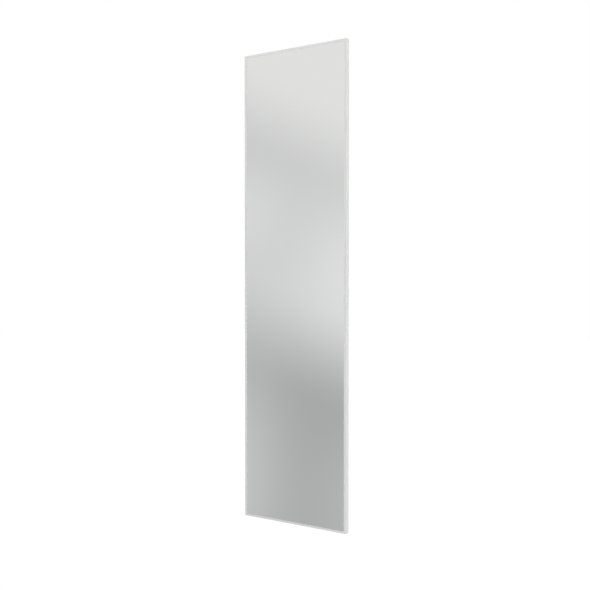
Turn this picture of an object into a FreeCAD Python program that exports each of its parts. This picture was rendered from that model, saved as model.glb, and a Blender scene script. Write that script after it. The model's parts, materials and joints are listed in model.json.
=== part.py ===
import FreeCAD, Part
import math
import os

from FreeCAD import Vector

# Full-length wall mirror in a slim white aluminium frame, at real size in millimetres.
# +X is right seen from the front, +Y runs from the mirror face to the wall, +Z is up.
# The origin is the middle of the whole mirror, from its front plane to the backs of its bumpers.

# Outline of the frame
frame_width = 400.0
frame_height = 1600.0

# Extruded frame profile: widths run inward from the outer face, thicknesses run back from the front
outer_wall = 1.4
lip_width = 7.5
lip_thickness = 1.0
flange_width = 17.0
inner_wall = 1.3
web_thickness = 1.3
slot_lip = 1.3
slot_width = 6.5
front_radius = 0.8
lip_radius = 0.4
back_radius = 0.5
mitre_gap = 0.1

# Glass and what lies behind it, in the order they are stacked from the lip
tape_thickness = 0.3
glass_thickness = 4.0
glass_arris = 0.5
film_thickness = 0.2
film_margin = 1.0
foam_thickness = 2.0
foam_margin = 3.0
board_thickness = 3.2
edge_gap = 1.6
tape_joint = 0.2

# Blocks that carry and centre the glass in the frame's groove
block_length = 40.0
block_width_share = 0.5
cushion_length = 25.0
cushion_height_shares = (-0.7, 0.7)
cushion_width_share = 0.5

# Bowed leaf springs that press the board forward against the glass
clip_space = 2.5
clip_thickness = 0.5
clip_length = 36.0
clip_wall_gap = 2.6
clip_reach = 4.0
clip_play = 0.05
clip_hole_radius = 2.5
stile_clip_shares = (-0.84, -0.42, 0.0, 0.42, 0.84)
rail_clip_shares = (-0.45, 0.45)

# Steel angles, shims and grub screws that lock the mitred corners from inside the rear channel
angle_thickness = 2.5
shim_thickness = 1.0
screw_lift = 0.7
corner_arm = 46.0
plate_clearance = 0.5
plate_inner_radius = 1.0
plate_outer_radius = 2.0
corner_screw_near = 21.0
corner_screw_far = 37.5
corner_screw_radius = 2.0
corner_screw_sink = 0.3
socket_width = 2.0
socket_depth = 2.0
thread_gap = 0.05
thread_chamfer = 0.3

# Ring hangers on the stiles
hanger_drop = 160.0
strap_width = 9.0
strap_thickness = 1.0
strap_corner = 3.0
strap_rounding = 0.25
strap_end = 8.0
wire_radius = 1.0
ring_play = 0.3
ring_side_gap = 1.0
ring_drop = 14.0
ring_bend = 2.2
roll_gap = 0.1
hanger_screw_radius = 2.0
hanger_screw_pitch = 12.0
hanger_screw_tip = 0.8
strap_hole_gap = 0.3
head_radius = 3.6
head_height = 2.4
head_rounding = 1.2
head_clearance = 1.3
cross_length = 4.2
cross_width = 0.9
cross_foot_length = 1.6
cross_foot_width = 0.6
cross_depth = 1.3
nut_thickness = 2.4
nut_side_gap = 1.0
nut_end = 5.0

# Rubber bumpers that hold the frame clear of the wall, pushed into the rear slots
wall_gap = 0.4
bumper_radius = 6.0
bumper_rounding = 2.4
bumper_inset = 75.0
neck_gap = 0.05
barb_radius = 4.2
barb_height = 2.2
barb_tip_radius = 2.6

# How far cutting tools run past what they cut, and how near counts as the same place
overrun = 5.0
same_place = 0.001

# Depths behind the front plane
glass_front = lip_thickness + tape_thickness
glass_back = glass_front + glass_thickness
film_back = glass_back + film_thickness
foam_back = film_back + foam_thickness
board_back = foam_back + board_thickness
web_front = board_back + clip_space
channel_floor = web_front + web_thickness
channel_depth = shim_thickness + screw_lift + angle_thickness
channel_roof = channel_floor + channel_depth
frame_depth = channel_roof + slot_lip

# Distances inward from the frame's outer face
glass_edge = outer_wall + edge_gap
channel_inner = flange_width - inner_wall
slot_centre = (outer_wall + channel_inner) / 2

# Hanger sizes that follow from the wire, the strap and the screws
eye_inner_radius = wire_radius + ring_play
eye_outer_radius = eye_inner_radius + strap_thickness
ring_half_width = strap_width / 2 + ring_side_gap + wire_radius
near_screw = ring_drop + wire_radius + head_clearance + head_radius
far_screw = near_screw + hanger_screw_pitch
strap_length = far_screw + strap_end
bumper_height = 2 * eye_outer_radius + wall_gap

# Places of the main planes
front_y = -(frame_depth + bumper_height) / 2
back_y = front_y + frame_depth
left_x = -frame_width / 2
bottom_z = -frame_height / 2
stile_centre_x = frame_width / 2 - slot_centre
ring_axis_z = frame_height / 2 - hanger_drop
ring_axis_y = back_y + eye_outer_radius

# Each side of the frame: how far its piece is turned about +Y, and where its outer face is
sides = {
    "left": (0, Vector(left_x, front_y, 0)),
    "right": (180, Vector(-left_x, front_y, 0)),
    "bottom": (-90, Vector(0, front_y, bottom_z)),
    "top": (90, Vector(0, front_y, -bottom_z)),
}

# Each corner of the frame, and how far its piece is turned about +Y
corners = {
    "bottom_left": 0,
    "top_left": 90,
    "top_right": 180,
    "bottom_right": -90,
}


# Lays a flat outline in the frame's section, as (inward, back)
def in_section(point):
    return Vector(point.x, point.y, 0)


# Lays a flat outline as it is seen from the front, as (across, up)
def in_front_view(point):
    return Vector(point.x, 0, point.y)


# A closed outline through corners given as (across, up, radius), where radius 0 keeps the corner sharp
def outline(outline_corners, lay):
    turns = []
    for index, (across, up, radius) in enumerate(outline_corners):
        corner = Vector(across, up, 0)
        if not radius:
            turns.append((corner, None, corner))
            continue
        before = Vector(*outline_corners[index - 1][:2], 0) - corner
        after = Vector(*outline_corners[(index + 1) % len(outline_corners)][:2], 0) - corner
        before.normalize()
        after.normalize()
        half_angle = before.getAngle(after) / 2
        setback = radius / math.tan(half_angle)
        inward = before + after
        inward.normalize()
        middle = corner + inward * (radius / math.sin(half_angle) - radius)
        turns.append((corner + before * setback, middle, corner + after * setback))
    edges = []
    for index, (start, middle, end) in enumerate(turns):
        if middle is not None:
            edges.append(Part.Arc(lay(start), lay(middle), lay(end)).toShape())
        following = turns[(index + 1) % len(turns)][0]
        edges.append(Part.makeLine(lay(end), lay(following)))
    return Part.Wire(edges)


# A solid turned about the Y axis from an outline of (radius, depth, rounding) corners
def turned(outline_corners):
    return Part.Face(outline(outline_corners, in_section)).revolve(Vector(0, 0, 0), Vector(0, 1, 0), 360)


# A slab given by its width, height and the depths of its two faces behind the front plane
def slab(width, height, near, far):
    return Part.makeBox(width, far - near, height, Vector(-width / 2, front_y + near, -height / 2))


def moved(shape, x, y, z):
    copy = shape.copy()
    copy.translate(Vector(x, y, z))
    return copy


# Takes a piece made for a stile at the left, with its outer face at x = 0, to any side of the frame
def on_side(shape, side):
    turn, place = sides[side]
    copy = shape.copy()
    copy.rotate(Vector(0, 0, 0), Vector(0, 1, 0), turn)
    copy.translate(place)
    return copy


# Which way a corner lies from the middle of the frame, as (across, up)
def corner_way(corner):
    across = -1 if corner.endswith("left") else 1
    up = -1 if corner.startswith("bottom") else 1
    return across, up


# Takes a piece made for a corner at the lower left to any corner of the frame
def at_corner(shape, corner):
    across, up = corner_way(corner)
    copy = shape.copy()
    copy.rotate(Vector(0, 0, 0), Vector(0, 1, 0), corners[corner])
    copy.translate(Vector(across * frame_width / 2, front_y, up * frame_height / 2))
    return copy


# One side of the frame: front lip, groove for the glass and the T-shaped rear channel, mitred at both ends
def frame_bar(length):
    slot_near = slot_centre - slot_width / 2
    slot_far = slot_centre + slot_width / 2
    section = Part.Face(outline([
        (0, 0, front_radius),
        (lip_width, 0, lip_radius),
        (lip_width, lip_thickness, 0),
        (outer_wall, lip_thickness, 0),
        (outer_wall, web_front, 0),
        (flange_width, web_front, 0),
        (flange_width, frame_depth, back_radius),
        (slot_far, frame_depth, 0),
        (slot_far, channel_roof, 0),
        (channel_inner, channel_roof, 0),
        (channel_inner, channel_floor, 0),
        (outer_wall, channel_floor, 0),
        (outer_wall, channel_roof, 0),
        (slot_near, channel_roof, 0),
        (slot_near, frame_depth, 0),
        (0, frame_depth, back_radius),
    ], in_section))
    bar = section.extrude(Vector(0, 0, length))
    bar.translate(Vector(0, 0, -length / 2))
    end = length / 2 - mitre_gap / math.sqrt(2)
    reach = flange_width + overrun
    keep = Part.Face(outline([
        (-overrun, -end - overrun, 0),
        (reach, -end + reach, 0),
        (reach, end - reach, 0),
        (-overrun, end + overrun, 0),
    ], in_front_view))
    keep.translate(Vector(0, -overrun, 0))
    return bar.common(keep.extrude(Vector(0, frame_depth + 2 * overrun, 0)))


def frame_bars():
    stile = frame_bar(frame_height)
    rail = frame_bar(frame_width)
    return {
        "left_stile": on_side(stile, "left"),
        "right_stile": on_side(stile, "right"),
        "top_rail": on_side(rail, "top"),
        "bottom_rail": on_side(rail, "bottom"),
    }


# The silvered pane, with its sharp edges ground off all round
def mirror_glass():
    pane = slab(frame_width - 2 * glass_edge, frame_height - 2 * glass_edge, glass_front, glass_back)
    faces = [face for face in pane.Faces if abs(face.normalAt(0, 0).y) > 0.5]
    return pane.makeChamfer(glass_arris, [edge for face in faces for edge in face.Edges])


def sheet_behind_glass(margin, near, far):
    inset = 2 * (glass_edge + margin)
    return slab(frame_width - inset, frame_height - inset, near, far)


# Thin double-sided tape that beds the glass against the lip, flush with its edge and butted at the corners
def glazing_tapes():
    tape_width = lip_width - glass_edge
    full = frame_height - 2 * glass_edge
    between = frame_width - 2 * (lip_width + tape_joint)

    def strip(length):
        corner = Vector(glass_edge, lip_thickness, -length / 2)
        return Part.makeBox(tape_width, tape_thickness, length, corner)

    return {
        "glazing_tape_left": on_side(strip(full), "left"),
        "glazing_tape_right": on_side(strip(full), "right"),
        "glazing_tape_top": on_side(strip(between), "top"),
        "glazing_tape_bottom": on_side(strip(between), "bottom"),
    }


# Blocks between the groove's outer wall and the edges of the glass and board
def groove_blocks():
    def block(length, centre):
        depth = board_back - glass_front
        return Part.makeBox(edge_gap, depth, length, Vector(outer_wall, glass_front, centre - length / 2))

    across = frame_width / 2 * block_width_share
    carrying = [on_side(block(block_length, way * across), "bottom") for way in (-1, 1)]
    side_places = [frame_height / 2 * share for share in cushion_height_shares]
    top_place = frame_width / 2 * cushion_width_share
    return {
        "setting_blocks": Part.makeCompound(carrying),
        "edge_cushions_left": Part.makeCompound(
            [on_side(block(cushion_length, place), "left") for place in side_places]),
        "edge_cushions_right": Part.makeCompound(
            [on_side(block(cushion_length, place), "right") for place in side_places]),
        "edge_cushions_top": Part.makeCompound(
            [on_side(block(cushion_length, way * top_place), "top") for way in (-1, 1)]),
    }


# One bowed leaf: its two ends stand on the board and its crown bears on the frame's web
def spring_clip(place):
    clip_outer = outer_wall + clip_wall_gap
    clip_width = flange_width + clip_reach - clip_outer
    rise = clip_space - clip_thickness - clip_play
    half = clip_length / 2

    def bow(lift):
        ends = board_back + lift
        return Part.Arc(
            Vector(clip_outer, ends, place - half),
            Vector(clip_outer, ends + rise, place),
            Vector(clip_outer, ends, place + half),
        ).toShape()

    def end(way):
        start = Vector(clip_outer, board_back, place + way * half)
        return Part.makeLine(start, start + Vector(0, clip_thickness, 0))

    profile = Part.Face(Part.Wire([bow(0), end(1), bow(clip_thickness), end(-1)]))
    leaf = profile.extrude(Vector(clip_width, 0, 0))
    middle = Vector(clip_outer + clip_width / 2, board_back - overrun, place)
    hole = Part.makeCylinder(clip_hole_radius, clip_space + 2 * overrun, middle, Vector(0, 1, 0))
    return leaf.cut(hole)


def spring_clips():
    clips = {}
    for side, length, shares in (
        ("left", frame_height, stile_clip_shares),
        ("right", frame_height, stile_clip_shares),
        ("top", frame_width, rail_clip_shares),
        ("bottom", frame_width, rail_clip_shares),
    ):
        for number, share in enumerate(shares, 1):
            clips[f"spring_clip_{side}_{number}"] = on_side(spring_clip(length / 2 * share), side)
    return clips


# Where the grub screws stand in a lower left corner, as (across, up) from the frame's outer corner
def corner_screw_places():
    along = (corner_screw_near, corner_screw_far)
    return [(slot_centre, up) for up in along] + [(across, slot_centre) for across in along]


# A flat L that fills the rear channels of two meeting sides
def corner_plate(near, far):
    outer = outer_wall + plate_clearance
    inner = channel_inner - plate_clearance
    shape = Part.Face(outline([
        (outer, outer, plate_outer_radius),
        (corner_arm, outer, 0),
        (corner_arm, inner, 0),
        (inner, inner, plate_inner_radius),
        (inner, corner_arm, 0),
        (outer, corner_arm, 0),
    ], in_front_view))
    shape.translate(Vector(0, near, 0))
    return shape.extrude(Vector(0, far - near, 0))


def corner_angle():
    plate = corner_plate(channel_roof - angle_thickness, channel_roof)
    for across, up in corner_screw_places():
        start = Vector(across, channel_floor, up)
        plate = plate.cut(Part.makeCylinder(
            corner_screw_radius + thread_gap, channel_depth + overrun, start, Vector(0, 1, 0)))
    return plate


# A headless screw with a hexagon socket, from the shim's back to just under the frame's back face
def grub_screw():
    tip = channel_floor + shim_thickness
    top = frame_depth - corner_screw_sink
    body = turned([
        (0, tip, 0),
        (corner_screw_radius, tip, thread_chamfer),
        (corner_screw_radius, top, thread_chamfer),
        (0, top, 0),
    ])
    socket_radius = socket_width / 2 / math.cos(math.pi / 6)
    points = [
        Vector(socket_radius * math.cos(turn * math.pi / 3), top - socket_depth,
               socket_radius * math.sin(turn * math.pi / 3))
        for turn in range(7)
    ]
    return body.cut(Part.Face(Part.makePolygon(points)).extrude(Vector(0, socket_depth + overrun, 0)))


def corner_fittings():
    angle = corner_angle()
    shim = corner_plate(channel_floor, channel_floor + shim_thickness)
    screw = grub_screw()
    fittings = {}
    screws = []
    for corner in corners:
        fittings[f"corner_angle_{corner}"] = at_corner(angle, corner)
        fittings[f"corner_shim_{corner}"] = at_corner(shim, corner)
        for across, up in corner_screw_places():
            screws.append(at_corner(moved(screw, across, 0, up), corner))
    fittings["corner_screws"] = Part.makeCompound(screws)
    return fittings


# Strap of one hanger, with its rolled eye round the origin's X axis and its plate lying on the frame's back
def hanger_strap():
    # The roll ends where its outer corner comes back to the plate
    end_angle = math.pi + math.asin((eye_inner_radius - roll_gap) / eye_outer_radius)

    def on_eye(radius, angle):
        return Vector(0, radius * math.sin(angle), radius * math.cos(angle))

    def roll(radius):
        start = -math.pi / 2
        middle = (start + end_angle) / 2
        return Part.Arc(on_eye(radius, start), on_eye(radius, middle), on_eye(radius, end_angle)).toShape()

    plate_near = -eye_outer_radius
    plate_far = -eye_inner_radius
    foot_near = Vector(0, plate_near, -strap_length)
    foot_far = Vector(0, plate_far, -strap_length)
    profile = Part.Face(Part.Wire([
        roll(eye_outer_radius),
        Part.makeLine(on_eye(eye_outer_radius, end_angle), on_eye(eye_inner_radius, end_angle)),
        roll(eye_inner_radius),
        Part.makeLine(Vector(0, plate_far, 0), foot_far),
        Part.makeLine(foot_far, foot_near),
        Part.makeLine(foot_near, Vector(0, plate_near, 0)),
    ]))
    strap = profile.extrude(Vector(strap_width, 0, 0))
    strap.translate(Vector(-strap_width / 2, 0, 0))
    plan = Part.Face(outline([
        (-strap_width / 2, -strap_length, strap_corner),
        (strap_width / 2, -strap_length, strap_corner),
        (strap_width / 2, eye_outer_radius + overrun, 0),
        (-strap_width / 2, eye_outer_radius + overrun, 0),
    ], in_front_view))
    plan.translate(Vector(0, -eye_outer_radius - overrun, 0))
    strap = strap.common(plan.extrude(Vector(0, 2 * (eye_outer_radius + overrun), 0)))

    # The worn edges of the plate's outer face and of the roll
    def on_rim(edge):
        points = edge.discretize(3)
        on_plate = all(abs(point.y - plate_far) < same_place for point in points)
        on_roll = all(abs(math.hypot(point.y, point.z) - eye_outer_radius) < same_place for point in points)
        below_roll = points[1].z < -same_place
        along_side = abs(points[0].x - points[-1].x) < same_place
        return (on_plate and below_roll) or (on_roll and along_side)

    strap = strap.makeFillet(strap_rounding, [edge for edge in strap.Edges if on_rim(edge)])
    for down in (near_screw, far_screw):
        start = Vector(0, plate_near - overrun, -down)
        strap = strap.cut(Part.makeCylinder(
            hanger_screw_radius + strap_hole_gap, strap_thickness + 2 * overrun, start, Vector(0, 1, 0)))
    return strap


# D-shaped wire ring that hangs from the origin's X axis
def hanger_ring():
    side = ring_half_width
    bar_end = side - ring_bend
    leg_end = ring_drop - side
    bend_offset = ring_bend / math.sqrt(2)

    def bend(way):
        middle = Vector(way * (bar_end + bend_offset), 0, -ring_bend + bend_offset)
        return Part.Arc(Vector(way * bar_end, 0, 0), middle, Vector(way * side, 0, -ring_bend)).toShape()

    path = Part.Wire([
        Part.makeLine(Vector(0, 0, 0), Vector(bar_end, 0, 0)),
        bend(1),
        Part.makeLine(Vector(side, 0, -ring_bend), Vector(side, 0, -leg_end)),
        Part.Arc(Vector(side, 0, -leg_end), Vector(0, 0, -ring_drop), Vector(-side, 0, -leg_end)).toShape(),
        Part.makeLine(Vector(-side, 0, -leg_end), Vector(-side, 0, -ring_bend)),
        bend(-1),
        Part.makeLine(Vector(-bar_end, 0, 0), Vector(0, 0, 0)),
    ])
    wire_section = Part.Wire(Part.makeCircle(wire_radius, Vector(0, 0, 0), Vector(1, 0, 0)))
    return path.makePipeShell([wire_section], True, False)


# Plate in the rear channel that the hanger's two screws pull against the slot's lips
def hanger_nut():
    width = channel_inner - outer_wall - 2 * nut_side_gap
    low = -far_screw - nut_end
    length = far_screw - near_screw + 2 * nut_end
    back = -eye_outer_radius - slot_lip
    nut = Part.makeBox(width, nut_thickness, length, Vector(-width / 2, back - nut_thickness, low))
    for down in (near_screw, far_screw):
        start = Vector(0, back - nut_thickness - overrun, -down)
        nut = nut.cut(Part.makeCylinder(
            hanger_screw_radius + thread_gap, nut_thickness + 2 * overrun, start, Vector(0, 1, 0)))
    return nut


# Pan-head screw with a tapered cross recess, its head seated on the strap
def hanger_screw():
    def rectangle(width, height, depth):
        across, up = width / 2, height / 2
        return Part.makePolygon([
            Vector(x, depth, z)
            for x, z in ((-across, -up), (across, -up), (across, up), (-across, up), (-across, -up))
        ])

    seat = -eye_inner_radius
    tip = seat - strap_thickness - slot_lip - nut_thickness - hanger_screw_tip
    top = seat + head_height
    screw = turned([
        (0, tip, 0),
        (hanger_screw_radius, tip, thread_chamfer),
        (hanger_screw_radius, seat, 0),
        (head_radius, seat, 0),
        (head_radius, top, head_rounding),
        (0, top, 0),
    ])
    wing = Part.makeLoft([
        rectangle(cross_length, cross_width, top),
        rectangle(cross_foot_length, cross_foot_width, top - cross_depth),
    ], True)
    other_wing = wing.copy()
    other_wing.rotate(Vector(0, 0, 0), Vector(0, 1, 0), 90)
    return screw.cut(wing.fuse(other_wing))


def hangers():
    strap = hanger_strap()
    ring = hanger_ring()
    nut = hanger_nut()
    screw = hanger_screw()
    fittings = {}
    screws = []
    for name, x in (("left", -stile_centre_x), ("right", stile_centre_x)):
        place = (x, ring_axis_y, ring_axis_z)
        fittings[f"hanger_strap_{name}"] = moved(strap, *place)
        fittings[f"hanger_ring_{name}"] = moved(ring, *place)
        fittings[f"hanger_nut_{name}"] = moved(nut, *place)
        for down in (near_screw, far_screw):
            screws.append(moved(screw, x, ring_axis_y, ring_axis_z - down))
    fittings["hanger_screws"] = Part.makeCompound(screws)
    return fittings


# Round bumpers, each with a neck through the slot and a barb that holds behind its lips
def bumpers():
    neck_radius = slot_width / 2 - neck_gap
    bumper = turned([
        (0, -slot_lip - barb_height, 0),
        (barb_tip_radius, -slot_lip - barb_height, 0),
        (barb_radius, -slot_lip, 0),
        (neck_radius, -slot_lip, 0),
        (neck_radius, 0, 0),
        (bumper_radius, 0, 0),
        (bumper_radius, bumper_height, bumper_rounding),
        (0, bumper_height, 0),
    ])
    height = frame_height / 2 - bumper_inset
    pieces = {}
    for corner in corners:
        across, up = corner_way(corner)
        pieces[f"bumper_{corner}"] = moved(bumper, across * stile_centre_x, back_y, up * height)
    return pieces


def all_pieces():
    pieces = {}
    pieces.update(frame_bars())
    pieces["mirror_glass"] = mirror_glass()
    pieces["safety_film"] = sheet_behind_glass(film_margin, glass_back, film_back)
    pieces["foam_sheet"] = sheet_behind_glass(foam_margin, film_back, foam_back)
    pieces["back_board"] = sheet_behind_glass(0, foam_back, board_back)
    pieces.update(glazing_tapes())
    pieces.update(groove_blocks())
    pieces.update(spring_clips())
    pieces.update(corner_fittings())
    pieces.update(hangers())
    pieces.update(bumpers())
    return pieces


os.makedirs("parts", exist_ok=True)
for node, shape in all_pieces().items():
    shape.exportStep(os.path.join("parts", f"{node}.step"))
full_depth = frame_depth + bumper_height
print(f"frame {frame_width:g} x {frame_height:g} x {frame_depth:g} mm, {full_depth:g} mm with its bumpers")
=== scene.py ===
import json
import math

import bpy
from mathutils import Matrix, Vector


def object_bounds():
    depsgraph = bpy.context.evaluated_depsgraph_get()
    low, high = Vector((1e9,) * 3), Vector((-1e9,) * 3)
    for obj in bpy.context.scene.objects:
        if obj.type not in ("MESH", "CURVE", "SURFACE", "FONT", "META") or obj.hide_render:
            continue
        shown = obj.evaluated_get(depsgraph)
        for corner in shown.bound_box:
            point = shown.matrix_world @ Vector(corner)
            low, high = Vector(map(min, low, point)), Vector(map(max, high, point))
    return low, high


# in metres: +X is right seen from the front, +Y runs from the glass back to the wall, +Z is up
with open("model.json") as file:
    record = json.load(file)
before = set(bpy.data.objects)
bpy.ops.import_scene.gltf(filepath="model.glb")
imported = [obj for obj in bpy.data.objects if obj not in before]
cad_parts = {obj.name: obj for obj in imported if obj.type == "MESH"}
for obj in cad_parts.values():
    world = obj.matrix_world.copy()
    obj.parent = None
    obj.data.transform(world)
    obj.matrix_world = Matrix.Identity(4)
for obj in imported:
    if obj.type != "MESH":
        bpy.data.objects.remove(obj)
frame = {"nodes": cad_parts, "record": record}        # bodies, nodes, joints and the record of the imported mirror
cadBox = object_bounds()
scene = bpy.context.scene


# Small helpers for node trees

noiseRange = (0.3, 0.7)        # most values of a noise texture lie in it
facingLimit = 0.7              # a cosine, about 45 degrees to either side of a way
outOfGlass = (0, -1, 0)
towardsWall = (0, 1, 0)
pureWhite = (1, 1, 1, 1)


def addNode(tree, kind, **settings):
    node = tree.nodes.new(kind)
    for name, value in settings.items():
        setattr(node, name, value)
    return node


def plug(tree, value, socket):
    # an output is linked, anything else becomes the socket's own value
    if isinstance(value, bpy.types.NodeSocket):
        tree.links.new(value, socket)
    else:
        socket.default_value = value


def newMaterial(name):
    material = bpy.data.materials.new(name)
    material.use_nodes = True
    return material, material.node_tree


def fillShader(tree, inputs):
    shader = tree.nodes["Principled BSDF"]
    for name, value in inputs.items():
        plug(tree, value, shader.inputs[name])


def calculate(tree, operation, *values):
    node = addNode(tree, "ShaderNodeMath", operation=operation)
    for value, socket in zip(values, node.inputs):
        plug(tree, value, socket)
    return node.outputs[0]


def vectorMath(tree, operation, *values):
    node = addNode(tree, "ShaderNodeVectorMath", operation=operation)
    for value, socket in zip(values, node.inputs):
        plug(tree, value, socket)
    return node.outputs["Value" if operation in ("DOT_PRODUCT", "LENGTH") else "Vector"]


def stretchedPosition(tree, scale=(1, 1, 1)):
    coordinates = addNode(tree, "ShaderNodeTexCoord")
    mapping = addNode(tree, "ShaderNodeMapping")
    mapping.inputs["Scale"].default_value = scale
    tree.links.new(coordinates.outputs["Object"], mapping.inputs["Vector"])
    return mapping.outputs["Vector"]


def noise(tree, scale, detail=3, stretch=(1, 1, 1)):
    node = addNode(tree, "ShaderNodeTexNoise")
    node.inputs["Scale"].default_value = scale
    node.inputs["Detail"].default_value = detail
    tree.links.new(stretchedPosition(tree, stretch), node.inputs["Vector"])
    return node.outputs["Fac"]


def cells(tree, scale):
    node = addNode(tree, "ShaderNodeTexVoronoi")
    node.inputs["Scale"].default_value = scale
    tree.links.new(stretchedPosition(tree), node.inputs["Vector"])
    return node.outputs["Distance"]


def crossedRibs(tree, pitch):
    # ribs along X and along Z, 1 on top of a rib and -1 at the bottom of a hollow
    split = addNode(tree, "ShaderNodeSeparateXYZ")
    tree.links.new(stretchedPosition(tree), split.inputs[0])
    turn = 2 * math.pi / pitch
    ribs = []
    for axis in ("X", "Z"):
        angle = calculate(tree, "MULTIPLY", split.outputs[axis], turn)
        ribs.append(calculate(tree, "SINE", angle))
    return calculate(tree, "MAXIMUM", *ribs)


def remap(tree, value, to, seen=noiseRange, ramp="LINEAR"):
    node = addNode(tree, "ShaderNodeMapRange", interpolation_type=ramp)
    for name, number in zip(("From Min", "From Max", "To Min", "To Max"), (*seen, *to)):
        node.inputs[name].default_value = number
    tree.links.new(value, node.inputs["Value"])
    return node.outputs["Result"]


def blendColours(tree, factor, first, second):
    node = addNode(tree, "ShaderNodeMix", data_type="RGBA")
    plug(tree, factor, node.inputs["Factor"])
    for colour, socket in ((first, node.inputs["A"]), (second, node.inputs["B"])):
        plug(tree, colour if isinstance(colour, bpy.types.NodeSocket) else (*colour, 1), socket)
    return node.outputs["Result"]


def blendNumbers(tree, factor, first, second):
    node = addNode(tree, "ShaderNodeMix", data_type="FLOAT")
    plug(tree, factor, node.inputs["Factor"])
    plug(tree, first, node.inputs["A"])
    plug(tree, second, node.inputs["B"])
    return node.outputs["Result"]


def bump(tree, height, depth, below=None):
    node = addNode(tree, "ShaderNodeBump")
    node.inputs["Strength"].default_value = 1
    node.inputs["Distance"].default_value = depth
    tree.links.new(height, node.inputs["Height"])
    if below is not None:
        tree.links.new(below, node.inputs["Normal"])
    return node.outputs["Normal"]


def facing(tree, way):
    # 1 where the surface faces that way, else 0
    normal = addNode(tree, "ShaderNodeNewGeometry").outputs["Normal"]
    return calculate(tree, "GREATER_THAN", vectorMath(tree, "DOT_PRODUCT", normal, way), facingLimit)


# Frame: satin white powder coat with a fine orange peel

powderCoat = {
    "white": (0.800, 0.801, 0.795),
    "shade": (0.778, 0.780, 0.775),
    "clouds": {"scale": 5},
    "roughness": (0.34, 0.42),
    "patches": {"scale": 60},            # of more and less gloss, as in the other finishes
    "peel": {"scale": 850, "detail": 2},
    "peelDepth": 0.00011,
    "grain": {"scale": 4200, "detail": 1},
    "grainDepth": 0.000014,
    "ior": 1.5,
}


def whitePowderCoat():
    material, tree = newMaterial("whitePowderCoat")
    clouds = noise(tree, **powderCoat["clouds"])
    peel = bump(tree, noise(tree, **powderCoat["peel"]), powderCoat["peelDepth"])
    grain = bump(tree, noise(tree, **powderCoat["grain"]), powderCoat["grainDepth"], below=peel)
    fillShader(tree, {
        "Base Color": blendColours(tree, clouds, powderCoat["white"], powderCoat["shade"]),
        "Roughness": remap(tree, noise(tree, **powderCoat["patches"]), powderCoat["roughness"]),
        "Normal": grain,
        "IOR": powderCoat["ior"],
    })
    return material


# Glass: silver in front, green ground edges, grey paint behind

silverGlass = {
    "silver": (0.962, 0.970, 0.965),
    "roughness": (0.012, 0.022),
    "patches": {"scale": 14},
    "waves": {"scale": 3, "detail": 1},
    "waveDepth": 0.000012,
    "edge": (0.30, 0.42, 0.38),
    "edgeRoughness": 0.35,
    "paint": (0.27, 0.28, 0.29),
    "paintClouds": {"scale": 90},
}


def silveredGlass():
    material, tree = newMaterial("silveredGlass")
    front = facing(tree, outOfGlass)
    clouds = noise(tree, **silverGlass["paintClouds"])
    paint = blendColours(tree, clouds, silverGlass["paint"], silverGlass["edge"])
    dull = blendColours(tree, facing(tree, towardsWall), silverGlass["edge"], paint)
    polish = remap(tree, noise(tree, **silverGlass["patches"]), silverGlass["roughness"])
    fillShader(tree, {
        "Base Color": blendColours(tree, front, dull, silverGlass["silver"]),
        "Metallic": front,
        "Roughness": blendNumbers(tree, front, silverGlass["edgeRoughness"], polish),
        "Normal": bump(tree, noise(tree, **silverGlass["waves"]), silverGlass["waveDepth"]),
    })
    return material


# Back board: brown hardboard, smooth inside, with the press screen's mesh behind and painted shade in the mesh's
# hollows

hardboard = {
    "light": (0.235, 0.148, 0.084),
    "dark": (0.175, 0.106, 0.058),
    "clouds": {"scale": 6, "detail": 6},
    "cloudShare": {"to": (0.25, 0.75)},
    "mottle": {"scale": 70, "detail": 5},
    "mottleShare": {"to": (0, 0.5), "seen": (0.35, 0.75)},
    "paleFibre": (0.310, 0.205, 0.123),
    "uprightFibres": {"scale": 720, "stretch": (1, 1, 0.2)},
    "levelFibres": {"scale": 660, "stretch": (0.2, 1, 1)},
    "paleShare": {"to": (0, 0.75), "seen": (0.6, 0.74)},
    "darkFibre": (0.098, 0.056, 0.031),
    "looseFibres": {"scale": 820, "stretch": (0.6, 1, 0.35)},
    "darkShare": {"to": (0.8, 0), "seen": (0.27, 0.38)},
    "fibreDepth": 0.00006,
    "meshPitch": 0.0014,
    # painted shade: the mesh's hollows darker and its ribs lighter
    "meshShadeShare": {"to": (0.25, 0), "seen": (0, 1)},
    "meshDepth": 0.00012,
    "roughness": (0.55, 0.75),
}


def screenBackHardboard():
    material, tree = newMaterial("screenBackHardboard")
    clouds = remap(tree, noise(tree, **hardboard["clouds"]), **hardboard["cloudShare"])
    colour = blendColours(tree, clouds, hardboard["dark"], hardboard["light"])
    mottle = remap(tree, noise(tree, **hardboard["mottle"]), **hardboard["mottleShare"])
    colour = blendColours(tree, mottle, colour, hardboard["light"])
    upright = noise(tree, **hardboard["uprightFibres"])
    fibres = calculate(tree, "MAXIMUM", upright, noise(tree, **hardboard["levelFibres"]))
    pale = remap(tree, fibres, **hardboard["paleShare"])
    colour = blendColours(tree, pale, colour, hardboard["paleFibre"])
    dark = remap(tree, noise(tree, **hardboard["looseFibres"]), **hardboard["darkShare"])
    colour = blendColours(tree, dark, colour, hardboard["darkFibre"])
    ribs = crossedRibs(tree, hardboard["meshPitch"])
    mesh = calculate(tree, "MULTIPLY", ribs, facing(tree, towardsWall))
    # painted shade in the hollows of the mesh, blended towards the dark tone
    meshShade = remap(tree, mesh, **hardboard["meshShadeShare"])
    rough = bump(tree, fibres, hardboard["fibreDepth"])
    fillShader(tree, {
        "Base Color": blendColours(tree, meshShade, colour, hardboard["dark"]),
        "Roughness": remap(tree, upright, hardboard["roughness"]),
        "Normal": bump(tree, mesh, hardboard["meshDepth"], below=rough),
    })
    return material


# Safety film: a thin pale blue sheet with woven ribs

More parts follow.
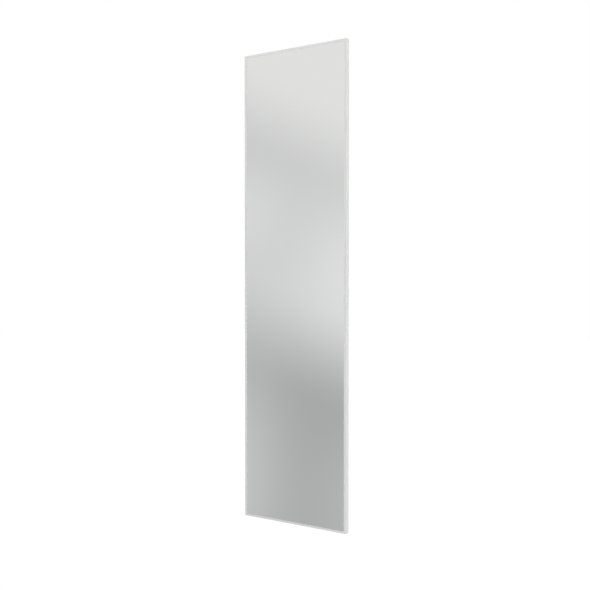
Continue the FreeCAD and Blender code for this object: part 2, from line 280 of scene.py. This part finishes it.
film = {
    "sheet": (0.62, 0.70, 0.76),
    "rib": (0.74, 0.79, 0.83),
    "ribPitch": 0.003,
    "ribShare": {"to": (0, 1), "seen": (0.5, 1)},
    "ribDepth": 0.00003,
    "roughness": (0.22, 0.32),
    "patches": {"scale": 200},
}


def wovenFilm():
    material, tree = newMaterial("wovenFilm")
    ribs = crossedRibs(tree, film["ribPitch"])
    tops = remap(tree, ribs, **film["ribShare"])
    fillShader(tree, {
        "Base Color": blendColours(tree, tops, film["sheet"], film["rib"]),
        "Roughness": remap(tree, noise(tree, **film["patches"]), film["roughness"]),
        "Normal": bump(tree, ribs, film["ribDepth"]),
    })
    return material


# Foam sheet: white closed cells, with painted shade in their hollow middles

foam = {
    "wall": (0.86, 0.86, 0.85),
    # painted shade for the hollow middles of the cells
    "middle": (0.76, 0.77, 0.77),
    "cellScale": 1400,
    "wallShare": {"to": (0, 1), "seen": (0.1, 0.7)},
    "cellDepth": 0.0001,
    "roughness": (0.7, 0.85),
    "patches": {"scale": 300},
}


def closedCellFoam():
    material, tree = newMaterial("closedCellFoam")
    bubbles = cells(tree, foam["cellScale"])
    walls = remap(tree, bubbles, **foam["wallShare"])
    fillShader(tree, {
        # the cells' middles darkened: painted shade
        "Base Color": blendColours(tree, walls, foam["middle"], foam["wall"]),
        "Roughness": remap(tree, noise(tree, **foam["patches"]), foam["roughness"]),
        "Normal": bump(tree, bubbles, foam["cellDepth"]),
    })
    return material


# Glazing tape: matt white with fine specks

tape = {
    "light": (0.86, 0.86, 0.85),
    "shade": (0.80, 0.80, 0.79),
    "specks": {"scale": 900, "detail": 2},
    "lightShare": (0, 1),
    "speckDepth": 0.00005,
    "roughness": (0.65, 0.8),
}


def foamTape():
    material, tree = newMaterial("foamTape")
    specks = noise(tree, **tape["specks"])
    light = remap(tree, specks, tape["lightShare"])
    fillShader(tree, {
        "Base Color": blendColours(tree, light, tape["shade"], tape["light"]),
        "Roughness": remap(tree, specks, tape["roughness"]),
        "Normal": bump(tree, specks, tape["speckDepth"]),
    })
    return material


# Metals of the springs, corners and hangers: streaks of two tones, with a dull mottle over them

metals = {                               # by the record's slots
    "spring_steel": {
        "name": "rolledSpringSteel", "bright": (0.50, 0.52, 0.57), "dull": (0.40, 0.40, 0.43),
        "streaks": {"scale": 220, "detail": 4, "stretch": (1, 1, 0.12)}, "streakDepth": 0.000012,
        "mottleScale": 110, "roughness": (0.24, 0.38),
    },
    "zinc_steel": {
        "name": "zincPlate", "bright": (0.66, 0.67, 0.68), "dull": (0.54, 0.56, 0.58),
        "streaks": {"scale": 420, "detail": 4}, "streakDepth": 0.00002,
        "mottleScale": 210, "roughness": (0.34, 0.50),
    },
    "blackened_steel": {
        "name": "blackOxide", "bright": (0.055, 0.055, 0.060), "dull": (0.028, 0.027, 0.028),
        "streaks": {"scale": 700, "detail": 4}, "streakDepth": 0.00001,
        "mottleScale": 350, "roughness": (0.38, 0.55),
    },
    "nickel_steel": {
        "name": "nickelPlate", "bright": (0.71, 0.69, 0.65), "dull": (0.60, 0.58, 0.54),
        "streaks": {"scale": 350, "detail": 4, "stretch": (1, 1, 0.3)}, "streakDepth": 0.000006,
        "mottleScale": 175, "roughness": (0.14, 0.26),
    },
}
brightShare = (0, 1)
mottleShare = {"to": (0, 0.35), "seen": (0.2, 0.8)}


def platedMetal(look):
    material, tree = newMaterial(look["name"])
    streaks = noise(tree, **look["streaks"])
    colour = blendColours(tree, remap(tree, streaks, brightShare), look["dull"], look["bright"])
    mottle = remap(tree, cells(tree, look["mottleScale"]), **mottleShare)
    fillShader(tree, {
        "Base Color": blendColours(tree, mottle, colour, look["dull"]),
        "Metallic": 1,
        "Roughness": remap(tree, streaks, look["roughness"]),
        "Normal": bump(tree, streaks, look["streakDepth"]),
    })
    return material


# Rubber of the bumpers, setting blocks and cushions, with a dusty bloom

rubber = {
    "dark": (0.022, 0.022, 0.023),
    "bloom": (0.050, 0.050, 0.052),
    "patches": {"scale": 45},
    "bloomShare": (0, 1),
    "roughness": (0.62, 0.80),
    "specks": {"scale": 650, "detail": 4},
    "speckDepth": 0.00004,
}


def blackRubber():
    material, tree = newMaterial("blackRubber")
    patches = noise(tree, **rubber["patches"])
    bloom = remap(tree, patches, rubber["bloomShare"])
    fillShader(tree, {
        "Base Color": blendColours(tree, bloom, rubber["dark"], rubber["bloom"]),
        "Roughness": remap(tree, patches, rubber["roughness"]),
        "Normal": bump(tree, noise(tree, **rubber["specks"]), rubber["speckDepth"]),
    })
    return material


# Every node gets the finish of its slot in the record

makers = {
    "frame_coating": whitePowderCoat,
    "mirror_silver": silveredGlass,
    "hardboard": screenBackHardboard,
    "clear_film": wovenFilm,
    "foam": closedCellFoam,
    "glazing_tape": foamTape,
    "black_rubber": blackRubber,
}


def dressNodes():
    finishes = {slot: make() for slot, make in makers.items()}
    for slot, look in metals.items():
        finishes[slot] = platedMetal(look)
    for part in frame["record"]["subparts"]:
        for materialSlot in frame["nodes"][part["node"]].material_slots:
            materialSlot.material = finishes[part["material_slot"]]
    print("finishes:", ", ".join(finish.name for finish in finishes.values()))


# Studio: white to the camera, bands and panels in all reflections, even light on every piece

# directions are in degrees: bearing 0 is straight out of the mirror's face and grows towards +X
studio = {
    "bearing": -32,                      # which way the glass sends the camera's view
    "lean": 6,                           # how far either side of it the bands' edges slope
    "under": (0.82, 0.82, 0.82),         # the light below the lowest band
    "bands": [                           # the lowest first, each from its soft edge up
        {"light": (0.56, 0.56, 0.56), "edge": -62.0, "slope": 0.0, "softness": 40.0},
        {"light": (0.366, 0.371, 0.370), "edge": -27.0, "slope": 0.0, "softness": 14.0},
        {"light": (0.608, 0.611, 0.610), "edge": -4.5, "slope": -0.44, "softness": 8.2},
        {"light": (0.768, 0.769, 0.760), "edge": 10.8, "slope": -0.42, "softness": 6.5},
    ],
    "panels": [
        {"light": (0.150, 0.150, 0.149), "at": (-27.0, 0.0), "size": (5.2, 5.6)},    # four in the glass
        {"light": (0.077, 0.077, 0.077), "at": (-35.7, 5.0), "size": (2.8, 3.2)},
        {"light": (0.196, 0.198, 0.197), "at": (-36.7, -13.4), "size": (4.0, 9.2)},
        {"light": (0.120, 0.121, 0.121), "at": (-26.0, -16.0), "size": (5.0, 6.3)},
        {"light": (0.45, 0.45, 0.45), "at": (66, 4), "size": (30, 34)},              # one at the right
        {"light": (0.90, 0.90, 0.89), "at": (128, 22), "size": (16, 26)},            # two behind the mirror
        {"light": (0.55, 0.55, 0.56), "at": (-135, 12), "size": (22, 30)},
        {"light": (0.45, 0.45, 0.45), "at": (0, 90), "size": (400, 22)},             # and one overhead
    ],
    "even": (0.261, 0.264, 0.265),
    "evenTilt": (0.03, 0.0, 0.04),       # how the even light grows towards +X and up
}


def band(tree, below, elevation, lean, settings):
    # everything above the band's soft edge takes its light
    raised = calculate(tree, "SUBTRACT", elevation, calculate(tree, "MULTIPLY", lean, settings["slope"]))
    half = settings["softness"] / 2
    edge = (settings["edge"] - half, settings["edge"] + half)
    share = remap(tree, raised, (0, 1), edge, ramp="SMOOTHSTEP")
    return blendColours(tree, share, below, settings["light"])


def panel(tree, below, place, settings):
    # a soft glow is added to what is there
    offset = vectorMath(tree, "SUBTRACT", place, (*settings["at"], 0))
    shares = vectorMath(tree, "DIVIDE", offset, (*settings["size"], 1))
    distance = vectorMath(tree, "DOT_PRODUCT", shares, shares)
    glow = calculate(tree, "EXPONENT", calculate(tree, "MULTIPLY", distance, -1))
    return vectorMath(tree, "MULTIPLY_ADD", glow, settings["light"], below)


def reflectedLight(tree, direction):
    split = addNode(tree, "ShaderNodeSeparateXYZ")
    tree.links.new(direction, split.inputs[0])
    ahead = calculate(tree, "MULTIPLY", split.outputs["Y"], -1)
    bearing = calculate(tree, "DEGREES", calculate(tree, "ARCTAN2", split.outputs["X"], ahead))
    elevation = calculate(tree, "DEGREES", calculate(tree, "ARCSINE", split.outputs["Z"]))
    turned = calculate(tree, "SUBTRACT", bearing, studio["bearing"])
    lean = calculate(tree, "MINIMUM", calculate(tree, "MAXIMUM", turned, -studio["lean"]), studio["lean"])
    light = studio["under"]
    for settings in studio["bands"]:
        light = band(tree, light, elevation, lean, settings)
    place = addNode(tree, "ShaderNodeCombineXYZ")
    tree.links.new(bearing, place.inputs["X"])
    tree.links.new(elevation, place.inputs["Y"])
    for settings in studio["panels"]:
        light = panel(tree, light, place.outputs[0], settings)
    return light


def evenLight(tree, direction):
    tilt = vectorMath(tree, "DOT_PRODUCT", direction, studio["evenTilt"])
    return vectorMath(tree, "ADD", tilt, studio["even"])


def shine(tree, colour):
    background = addNode(tree, "ShaderNodeBackground")
    plug(tree, colour, background.inputs["Color"])
    return background.outputs[0]


def choose(tree, chooser, otherwise, chosen):
    mix = addNode(tree, "ShaderNodeMixShader")
    for output, socket in zip((chooser, otherwise, chosen), mix.inputs):
        tree.links.new(output, socket)
    return mix.outputs[0]


def buildStudio():
    world = bpy.data.worlds.new("softStudio")
    world.use_nodes = True
    scene.world = world
    tree = world.node_tree
    tree.nodes.clear()
    direction = addNode(tree, "ShaderNodeTexCoord").outputs["Generated"]
    path = addNode(tree, "ShaderNodeLightPath").outputs
    mirrored = calculate(tree, "MAXIMUM", path["Is Glossy Ray"], path["Is Transmission Ray"])
    even = shine(tree, evenLight(tree, direction))
    toObject = choose(tree, mirrored, even, shine(tree, reflectedLight(tree, direction)))
    surface = choose(tree, path["Is Camera Ray"], toObject, shine(tree, pureWhite))
    tree.links.new(surface, addNode(tree, "ShaderNodeOutputWorld").inputs["Surface"])


# Pale floor, white to the camera except where the mirror shades it

floorLook = {
    "drop": 0.45,                        # below the mirror
    "size": 30.0,
    "colour": (0.86, 0.86, 0.86),
    "roughness": 0.9,
    "glow": 0.535,                       # what the mirror gets from it besides
    "seenColour": (0.22, 0.22, 0.22),    # what the camera sees of its light and shadow
    "seenGlow": (0.855, 0.936),          # and the glow that makes it white there, near and far
    "nearAndFar": (0.5, 5.0),            # from under the mirror, along the floor
}


def buildFloor():
    half = floorLook["size"] / 2
    height = cadBox[0].z - floorLook["drop"]
    corners = [(x * half, y * half, height) for x, y in ((-1, -1), (1, -1), (1, 1), (-1, 1))]
    mesh = bpy.data.meshes.new("floor")
    mesh.from_pydata(corners, [], [(0, 1, 2, 3)])
    floor = bpy.data.objects.new("floor", mesh)
    scene.collection.objects.link(floor)
    material, tree = newMaterial("paleFloor")
    seen = addNode(tree, "ShaderNodeLightPath").outputs["Is Camera Ray"]
    away = vectorMath(tree, "LENGTH", stretchedPosition(tree, (1, 1, 0)))
    seenGlow = remap(tree, away, floorLook["seenGlow"], floorLook["nearAndFar"])
    fillShader(tree, {
        "Base Color": blendColours(tree, seen, floorLook["colour"], floorLook["seenColour"]),
        "Roughness": floorLook["roughness"],
        "Emission Color": pureWhite,
        "Emission Strength": blendNumbers(tree, seen, floorLook["glow"], seenGlow),
    })
    mesh.materials.append(material)
    floor.visible_glossy = False


# Soft lamps, unseen in the glass, all turned to the middle of the mirror

lamps = [
    {"name": "sideLamp", "at": (3.4, -1.5, -0.1), "size": 2.2, "power": 34.5, "colour": (1, 1, 1)},
    {"name": "frontLamp", "at": (-0.4, -1.7, 2.15), "size": 1.6, "power": 16.5, "colour": (1, 0.995, 0.975)},
    {"name": "topLamp", "at": (0.0, -0.2, 2.7), "size": 1.5, "power": 10, "colour": (1, 1, 1)},
    {"name": "rearLamp", "at": (0.9, 3.2, 2.0), "size": 2.2, "power": 50, "colour": (1, 1, 1)},
]


def buildLamps():
    for settings in lamps:
        light = bpy.data.lights.new(settings["name"], "AREA")
        light.shape = "DISK"
        light.size = settings["size"]
        light.energy = settings["power"]
        light.color = settings["colour"]
        lamp = bpy.data.objects.new(settings["name"], light)
        scene.collection.objects.link(lamp)
        lamp.location = settings["at"]
        lamp.rotation_euler = (-lamp.location).to_track_quat("-Z", "Y").to_euler()
        lamp.visible_glossy = False


# Camera: the photograph's viewing angle

view = {
    "lens": 48.735,                      # in millimetres, as the sensor
    "sensor": 36,
    "at": (1.42443, -2.28311, 0.02251),
    "turn": 0.55826,                     # to the left of straight ahead, in radians
    "tip": -0.01807,                     # up from level, in radians
}


def buildCamera():
    data = bpy.data.cameras.new("camera")
    data.lens = view["lens"]
    data.sensor_width = view["sensor"]
    camera = bpy.data.objects.new("camera", data)
    scene.collection.objects.link(camera)
    camera.location = view["at"]
    camera.rotation_euler = (math.pi / 2 + view["tip"], 0, view["turn"])
    scene.camera = camera


dressNodes()
buildStudio()
buildFloor()
buildLamps()
buildCamera()
scene.view_settings.view_transform = "Standard"
print("studio, floor, lamps and camera in place")
